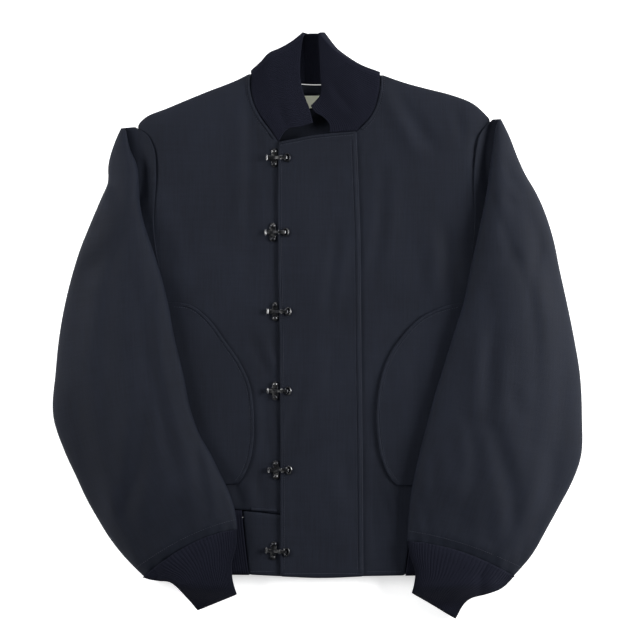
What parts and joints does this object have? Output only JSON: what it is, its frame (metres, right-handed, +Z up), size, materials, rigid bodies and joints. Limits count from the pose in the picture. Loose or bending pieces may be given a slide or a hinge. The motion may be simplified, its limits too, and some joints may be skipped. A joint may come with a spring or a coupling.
{
  "type": "deck jacket",
  "caption": "Dark navy deck jacket laid flat, closed by hook clips, with a ribbed stand collar, cuffs and waistband.",
  "frame": {"origin": "middle of the jacket's outline seen from above, on the surface that it lies on", "axes": "+Z up from the surface, +Y towards the collar, +X towards the wearer's left side"},
  "size_m": [0.6933, 0.7661, 0.0463],
  "materials": {
    "shell_cloth": "dark navy grosgrain-like cotton cloth, soft low sheen",
    "rib_knit": "darker navy rib knit, matte",
    "facing_cloth": "dark navy cloth strip",
    "label_cloth": "cream woven cloth, bare",
    "clip_metal": "blackened metal, worn bright at the high points"
  },
  "bodies": {
    "root": {"back": "shell_cloth", "front_right": "shell_cloth", "front_left": "shell_cloth", "front_flap": "shell_cloth", "front_band_right": "shell_cloth", "pocket_right": "shell_cloth", "pocket_left": "shell_cloth", "sleeve_right_top": "shell_cloth", "sleeve_right_under": "shell_cloth", "sleeve_left_top": "shell_cloth", "sleeve_left_under": "shell_cloth", "waist_knit_right": "rib_knit", "waist_knit_left": "rib_knit", "waist_knit_back": "rib_knit", "cuff_right": "rib_knit", "cuff_left": "rib_knit", "collar": "rib_knit", "neck_facing": "facing_cloth", "label": "label_cloth", "clip_1_plate": "clip_metal", "clip_1_hook": "clip_metal", "clip_1_ring": "clip_metal", "clip_2_plate": "clip_metal", "clip_2_hook": "clip_metal", "clip_2_ring": "clip_metal", "clip_3_plate": "clip_metal", "clip_3_hook": "clip_metal", "clip_3_ring": "clip_metal", "clip_4_plate": "clip_metal", "clip_4_hook": "clip_metal", "clip_4_ring": "clip_metal", "clip_5_plate": "clip_metal", "clip_5_hook": "clip_metal", "clip_5_ring": "clip_metal", "clip_6_plate": "clip_metal", "clip_6_hook": "clip_metal", "clip_6_ring": "clip_metal"}
  },
  "joints": []
}
